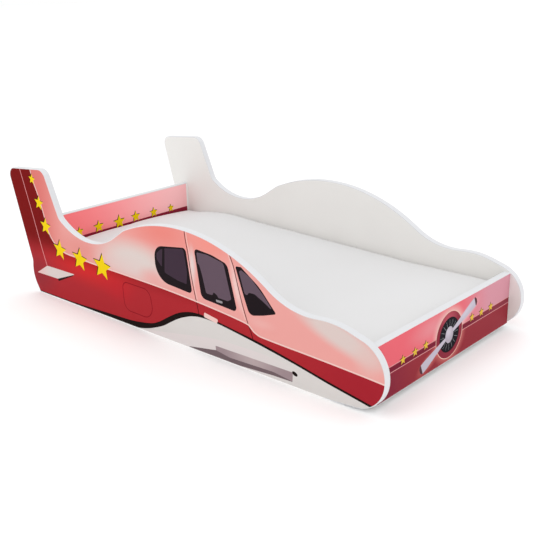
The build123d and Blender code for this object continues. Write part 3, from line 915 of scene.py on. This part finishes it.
def makeScrews():
    p = fastener
    low, high = boxOf("right_slat_rail")
    margin, middle = p["railScrewMargin"], (low + high) / 2
    copies = []
    for x in np.linspace(low.x + margin, high.x - margin, p["railScrewCount"]):
        for side in (-1, 1):
            copies.append(placedAlong((0, side, 0), (x, side * low.y, middle.z)))
    piece = outwardPiece("rail_screws_turned", screwGrid(p["railScrewLength"]), copies, caps=False)
    finishPiece(piece, zincPlated, "bed_frame", ["rail_screws"])
    copies = []
    for name in (slatNames[0], slatNames[-1]):
        slatLow, slatHigh = boxOf(name)
        for side in (-1, 1):
            place = ((slatLow.x + slatHigh.x) / 2, side * middle.y, slatHigh.z)
            copies.append(placedAlong((0, 0, -1), place))
    piece = outwardPiece("slat_screws_turned", screwGrid(p["slatScrewLength"]), copies, caps=False)
    finishPiece(piece, zincPlated, "bed_frame", ["slat_screws"])


def makeCaps():
    # Domed snap-in caps over the cams, with a notch in the rim to pry them out
    p = fastener
    radius, height = p["capRadius"], p["capHeight"]
    dome = [(-height, 0), (-height, radius * 0.45), (-height * 0.93, radius * 0.78),
            (-height * 0.7, radius * 0.93), (-height * 0.35, radius * 0.99), (0, radius),
            (0, radius * 0.5), (0, 0)]
    grid = turned(dome, 48)
    angle = np.arctan2(grid[..., 2], grid[..., 1])
    rim = (abs(angle) < p["pryHalfAngle"]) & (np.hypot(grid[..., 1], grid[..., 2]) > radius * 0.9)
    grid[..., 1] -= np.where(rim, p["pryNotch"], 0)
    copies = []
    for name in ("tail", "front"):
        low, high = boxOf(f"{name}_edge_bands")
        for side in (-1, 1):
            for z in (low.z + p["camEdge"], high.z - p["camEdge"]):
                copies.append(Matrix.Translation((low.x, side * (innerFaceY - p["camSetback"]), z)))
    material, tree, shader, place = newMaterial("moulded_white_plastic", {
        "Base Color": hexColour("#ECECEA"), "Roughness": 0.38, "Specular IOR Level": 0.4})
    # spark-eroded mould skin of about 0.3 mm
    skin = addNode(tree, "TexNoise", {"Scale": 1 / (0.3 * mm), "Detail": 1.0}, {0: place})
    addBump(tree, shader, skin.outputs["Fac"], 0.01 * mm, 0.4)
    piece = outwardPiece("cam_cover_caps", grid, copies, caps=False)
    finishPiece(piece, material, "bed_frame", ["cam_caps"])


def makeStaples():
    # Two wire staples hold each tape to a slat: a flat crown, both ends turned up into the wood
    p = fastener
    wide, (thick, high) = p["stapleWidth"] / 2, p["stapleWire"]
    leg, bend = p["stapleLeg"], p["stapleBend"]
    path = np.array([(-wide, leg), (-wide, bend), (-wide + bend, 0),
                     (wide - bend, 0), (wide, bend), (wide, leg)])
    square = np.array([(-thick, -high), (thick, -high), (thick, high), (-thick, high)]) / 2
    inward = np.array([(1, 0), (1, 0.2), (0.3, 1), (-0.3, 1), (-1, 0.2), (-1, 0)])
    grid = np.empty((6, 4, 3))
    grid[..., 0] = square[None, :, 0]
    grid[..., 1] = path[:, None, 0] + inward[:, None, 0] * square[None, :, 1]
    grid[..., 2] = path[:, None, 1] + inward[:, None, 1] * square[None, :, 1]
    tapeLow, tapeHigh = boxOf("slat_tapes")
    half = (tapeHigh.y - tapeLow.y - tape["width"]) / 2     # the tapes' middle lines
    copies = []
    for name in slatNames:
        low, high = boxOf(name)
        middle = (low.x + high.x) / 2
        for side in (-1, 1):
            for shift in (-p["stapleOffset"], p["stapleOffset"]):
                copies.append(Matrix.Translation((middle + shift, side * half, tapeLow.z - 0.2)))
    piece = outwardPiece("tape_staples", grid, copies)
    finishPiece(piece, zincPlated, "bed_frame")


makeScrews()
makeCaps()
makeStaples()
print("fasteners done")


# Mattress

mattress = {
    "fabric": "#DADADB", "fabricDark": "#D5D4D4", "thread": "#B9BABD",
    "boxHeight": 100.0,       # of the box that is then scaled to the height at each place
    "seat": 0.3, "radius": 22, "bulge": 3, "spacing": 12.5, "edgeOffsets": (0, 5, 11, 18, 26),
    # height of the top's edges over the slats along the length, and of the crown over them
    "share": (0, 0.02, 0.07, 0.17, 0.5, 0.77, 1),
    "height": (78, 80, 90, 103, 88, 76, 76),
    "crown": (16, 16, 12.5, 9, 9, 9, 9),
    "seamDepth": 1.2, "seamWidth": 1.5,
    "smoothing": 3,
    "frames": 16, "move": 2.5,
    "cloth": {"quality": 5, "mass": 0.35, "tension_stiffness": 40, "compression_stiffness": 40,
              "shear_stiffness": 15, "bending_stiffness": 4, "use_pressure": True,
              "uniform_pressure_force": 1.2},
    # the foam core: what it is thinner than the cover, and its grid
    "foam": "#F2E9CB", "foamDark": "#D8C99B",
    "coreThinner": 12.3, "coreRadius": 3, "coreSpacing": 60, "coreOffsets": (0, 1.5, 4),
}


def spread(length, spacing, offsets):
    # Even steps in the middle, and closer ones near both ends
    near = np.array(offsets, float)
    count = int(round((length - 2 * near[-1]) / spacing))
    middle = np.linspace(near[-1], length - near[-1], count + 1)
    return np.concatenate([near[:-1], middle, length - near[-2::-1]])


def boxSkin(sizes):
    # Points and quads of a box's surface, whose corner is at 0: every point of the three-way
    # grid that lies on the outside, and the quads of its six sides
    number, points, faces = {}, [], []
    counts = [len(size) for size in sizes]

    def point(index):
        if index not in number:
            number[index] = len(points)
            points.append([sizes[axis][index[axis]] for axis in range(3)])
        return number[index]

    for axis in range(3):
        one, two = (axis + 1) % 3, (axis + 2) % 3
        for end in (0, counts[axis] - 1):
            for i in range(counts[one] - 1):
                for j in range(counts[two] - 1):
                    quad = []
                    for di, dj in ((0, 0), (1, 0), (1, 1), (0, 1)):
                        index = [0, 0, 0]
                        index[axis], index[one], index[two] = end, i + di, j + dj
                        quad.append(point(tuple(index)))
                    faces.append(quad if end else quad[::-1])
    return np.array(points), faces


def softBox(length, halfWidth, height, radius, spacing, offsets, seam=True):
    # Each point of the box is drawn in to the box that is smaller by the radius all round, and
    # from there put out again by the radius, which rounds all edges and corners
    upright = spread(height, 12, offsets[:-1])
    if seam:
        upright = upright[abs(upright - height / 2) > 5]
        upright = np.sort(np.append(upright, height / 2 + np.array([-3, 0, 3])))
    sizes = (spread(length, spacing, offsets), spread(2 * halfWidth, spacing, offsets), upright)
    points, faces = boxSkin(sizes)
    inner = np.clip(points, radius, np.array([length, 2 * halfWidth, height]) - radius)
    arm = points - inner
    points = inner + arm / np.linalg.norm(arm, axis=1)[:, None] * radius
    points[:, 1] -= halfWidth
    return points, faces


def mattressForm(points, length, halfWidth, height, topOffset, startX, lowZ):
    # The box's height is scaled to that of the mattress at each place, and the crown added as a
    # parabola across the bed, growing with the square of the share of the height
    p = mattress
    share = np.clip(points[:, 0] / length, 0, 1)
    fine = np.linspace(0, 1, 201)
    levels = []
    for key in ("height", "crown"):
        level = np.interp(fine, p["share"], p[key])
        for _ in range(p["smoothing"]):
            level[1:-1] = np.convolve(np.pad(level, 4, mode="edge"), np.ones(9) / 9, "valid")[1:-1]
        levels.append(np.interp(share, fine, level))
    edge, crown = levels
    up = points[:, 2] / height
    across = np.clip(points[:, 1] / halfWidth, -1, 1)
    z = lowZ + up * (edge - topOffset) + crown * up ** 2 * (1 - across ** 2)
    return np.stack([points[:, 0] + startX, points[:, 1], z], 1)


def makeFabric():
    # Knitted jersey over padding: loops of 0.8 by 0.55 mm, a matt white with a faint pile at
    # grazing angles. The sewn seam round the sides holds a slightly darker thread.
    material, tree, shader, place = newMaterial("knitted_mattress_cover", {
        "Roughness": 0.85, "Sheen Weight": 0.12, "Sheen Roughness": 0.5, "Specular IOR Level": 0.2})
    wide = addNode(tree, "TexNoise", {"Scale": 3.0, "Detail": 1.0}, {0: place})
    tone = mixColours(tree, wide.outputs["Fac"], mattress["fabricDark"], mattress["fabric"])
    seam = addNode(tree, "Attribute", {"attribute_name": "seam"})
    tone = mixColours(tree, seam.outputs["Fac"], tone, mattress["thread"])
    tree.links.new(tone, shader.inputs["Base Color"])
    loops = addNode(tree, "Mapping", {"Scale": (1250, 1800, 1250)}, {0: place})     # 0.8 x 0.55 mm
    knit = addNode(tree, "TexVoronoi", {"feature": "SMOOTH_F1", "Scale": 1.0}, {0: loops.outputs[0]})
    addBump(tree, shader, knit.outputs["Distance"], 0.08 * mm, 0.2)
    return material


def makeFoam():
    # Cut polyether foam: a matt cream with open cells of about 1 mm
    material, tree, shader, place = newMaterial("cut_polyether_foam", {
        "Roughness": 0.95, "Specular IOR Level": 0.1})
    cells = addNode(tree, "TexVoronoi", {"feature": "F1", "Scale": 1 / (1.1 * mm)}, {0: place})
    tone = mixColours(tree, cells.outputs["Distance"], mattress["foam"], mattress["foamDark"])
    tree.links.new(tone, shader.inputs["Base Color"])
    addBump(tree, shader, cells.outputs["Distance"], 0.4 * mm, 0.6)
    return material


def puffUp(piece):
    # The padding's pressure fills the cover for a few frames. A point keeps its place up to the
    # set limit, so that the well still holds the mattress.
    p = mattress
    before = np.empty(len(piece.data.vertices) * 3, "f")
    piece.data.vertices.foreach_get("co", before)
    before = before.reshape(-1, 3)
    cloth = piece.modifiers.new("cover_fabric", "CLOTH")
    for name, value in p["cloth"].items():
        setattr(cloth.settings, name, value)
    cloth.settings.effector_weights.gravity = 0
    cloth.point_cache.frame_start = 1
    cloth.point_cache.frame_end = p["frames"]
    for number in range(1, p["frames"] + 1):
        scene.frame_set(number)
    shown = piece.evaluated_get(bpy.context.evaluated_depsgraph_get())
    after = np.empty(len(before) * 3, "f")
    shown.data.vertices.foreach_get("co", after)
    piece.modifiers.remove(cloth)
    scene.frame_set(1)
    step = after.reshape(-1, 3) - before
    far = np.linalg.norm(step, axis=1)[:, None]
    limit = p["move"] * mm
    step *= np.tanh(far / limit) * limit / np.maximum(far, 1e-9)
    return before + step


def makeCover():
    p = mattress
    low, high = boxOf("mattress_cover")
    length, half, height = high.x - low.x, high.y - p["bulge"], p["boxHeight"]
    points, faces = softBox(length, half, height, p["radius"], p["spacing"], p["edgeOffsets"])
    up = points[:, 2] / height
    side = np.clip((abs(points[:, 1]) - (half - p["radius"])) / p["radius"], 0, 1) ** 2
    points[:, 1] += np.sign(points[:, 1]) * side * p["bulge"] * np.sin(np.pi * up)
    # the seam half way up the sides is drawn in
    outside = (side > 0.9) | (points[:, 0] < 3) | (points[:, 0] > length - 3)
    seam = np.exp(-((points[:, 2] - height / 2) / p["seamWidth"]) ** 2) * outside
    points[:, 1] -= np.sign(points[:, 1]) * seam * p["seamDepth"] * (side > 0.9)
    points[:, 0] += np.sign(length / 2 - points[:, 0]) * seam * p["seamDepth"] * (side <= 0.9)
    points = mattressForm(points, length, half, height, p["seat"], low.x, low.z)
    cover = makePiece("mattress_cover_knit", points * mm, faces)
    settled = puffUp(cover) / mm
    settled[:, 0] = np.clip(settled[:, 0], low.x, high.x)
    settled[:, 1] = np.clip(settled[:, 1], low.y, high.y)
    settled[:, 2] = np.maximum(settled[:, 2], low.z)
    cover.data.vertices.foreach_set("co", (settled * mm).astype("f").ravel())
    cover.data.update()
    cover.data.attributes.new("seam", "FLOAT", "POINT").data.foreach_set("value", seam.astype("f"))
    smooth = cover.modifiers.new("smooth", "SUBSURF")
    smooth.levels = smooth.render_levels = 1
    finishPiece(cover, makeFabric(), "mattress", ["mattress_cover"], sharpAngle=0)
    cover.data.shade_smooth()


def makeCore():
    # The same form as the cover's, placed along it and drawn in
    p = mattress
    coverLow, coverHigh = boxOf("mattress_cover")
    low, high = boxOf("mattress_core")
    length, half, height = coverHigh.x - coverLow.x, coverHigh.y - p["bulge"], p["boxHeight"]
    points, faces = softBox(high.x - low.x, high.y, height, p["coreRadius"], p["coreSpacing"],
                            p["coreOffsets"], seam=False)
    points[:, 0] += low.x - coverLow.x
    points = mattressForm(points, length, half, height, p["coreThinner"], coverLow.x, low.z)
    points[:, 2] = np.minimum(points[:, 2], high.z)
    core = makePiece("mattress_core_foam", points * mm, faces)
    finishPiece(core, makeFoam(), "mattress", ["mattress_core"])


makeCover()
makeCore()
print("mattress done")


# Camera at the photograph's place

view = {
    "at": (1.88030, -1.96320, 1.06730), "yaw": -0.734163, "pitch": 0.339575, "roll": -0.0247139,
    "lens": 56.19,
}


def makeCamera():
    # Forward is (sin yaw cos pitch, cos yaw cos pitch, -sin pitch); the roll turns it about itself
    yaw, pitch, roll = view["yaw"], view["pitch"], view["roll"]
    ahead = Vector((math.sin(yaw) * math.cos(pitch), math.cos(yaw) * math.cos(pitch), -math.sin(pitch)))
    level = Vector((math.cos(yaw), -math.sin(yaw), 0))
    above = level.cross(ahead)
    right = level * math.cos(roll) + above * math.sin(roll)
    up = above * math.cos(roll) - level * math.sin(roll)
    data = bpy.data.cameras.new("camera")
    data.lens = view["lens"]
    data.sensor_width = 36
    camera = bpy.data.objects.new("camera", data)
    scene.collection.objects.link(camera)
    turn = Matrix((right, up, -ahead)).transposed().to_4x4()
    camera.matrix_world = Matrix.Translation(view["at"]) @ turn
    scene.camera = camera


studio = {
    "sky": "#FFFFFF", "skyStrength": 1.0,
    "floor": "#FCFCFC", "floorSize": 60.0,
    "floorLight": 0.06,       # the white sweep is lit a little from below, which thins the shadows
    # name: (place, aimed at, size, watts)
    "lamps": {
        "softbox_left": ((-1.2, -3.6, 2.6), (0, 0, 0.2), 2.4, 16),
        "softbox_top": ((0.4, -0.3, 3.6), (0, 0, 0.1), 3.0, 14),
        "softbox_nose": ((3.6, 0.6, 1.8), (0.2, 0, 0.2), 2.0, 8),
    },
}


def makeStudio():
    world = bpy.data.worlds.new("studio")
    world.use_nodes = True
    sky = world.node_tree.nodes["Background"]
    sky.inputs["Color"].default_value = hexColour(studio["sky"])
    sky.inputs["Strength"].default_value = studio["skyStrength"]
    scene.world = world
    scene.view_settings.view_transform = "Standard"
    half = studio["floorSize"] / 2
    corners = [(-half, -half, 0), (half, -half, 0), (half, half, 0), (-half, half, 0)]
    floor = makePiece("floor", corners, [[0, 1, 2, 3]])
    painted = newMaterial("pale_floor", {
        "Base Color": hexColour(studio["floor"]), "Roughness": 0.7,
        "Emission Color": hexColour(studio["sky"]), "Emission Strength": studio["floorLight"]})
    floor.data.materials.append(painted[0])
    for name, (at, aim, size, watts) in studio["lamps"].items():
        light = bpy.data.lights.new(name, "AREA")
        light.size = size
        light.energy = watts
        lamp = bpy.data.objects.new(name, light)
        scene.collection.objects.link(lamp)
        lamp.location = at
        lamp.rotation_euler = (Vector(aim) - Vector(at)).to_track_quat("-Z", "Y").to_euler()


makeCamera()
makeStudio()
print("camera and lights done")
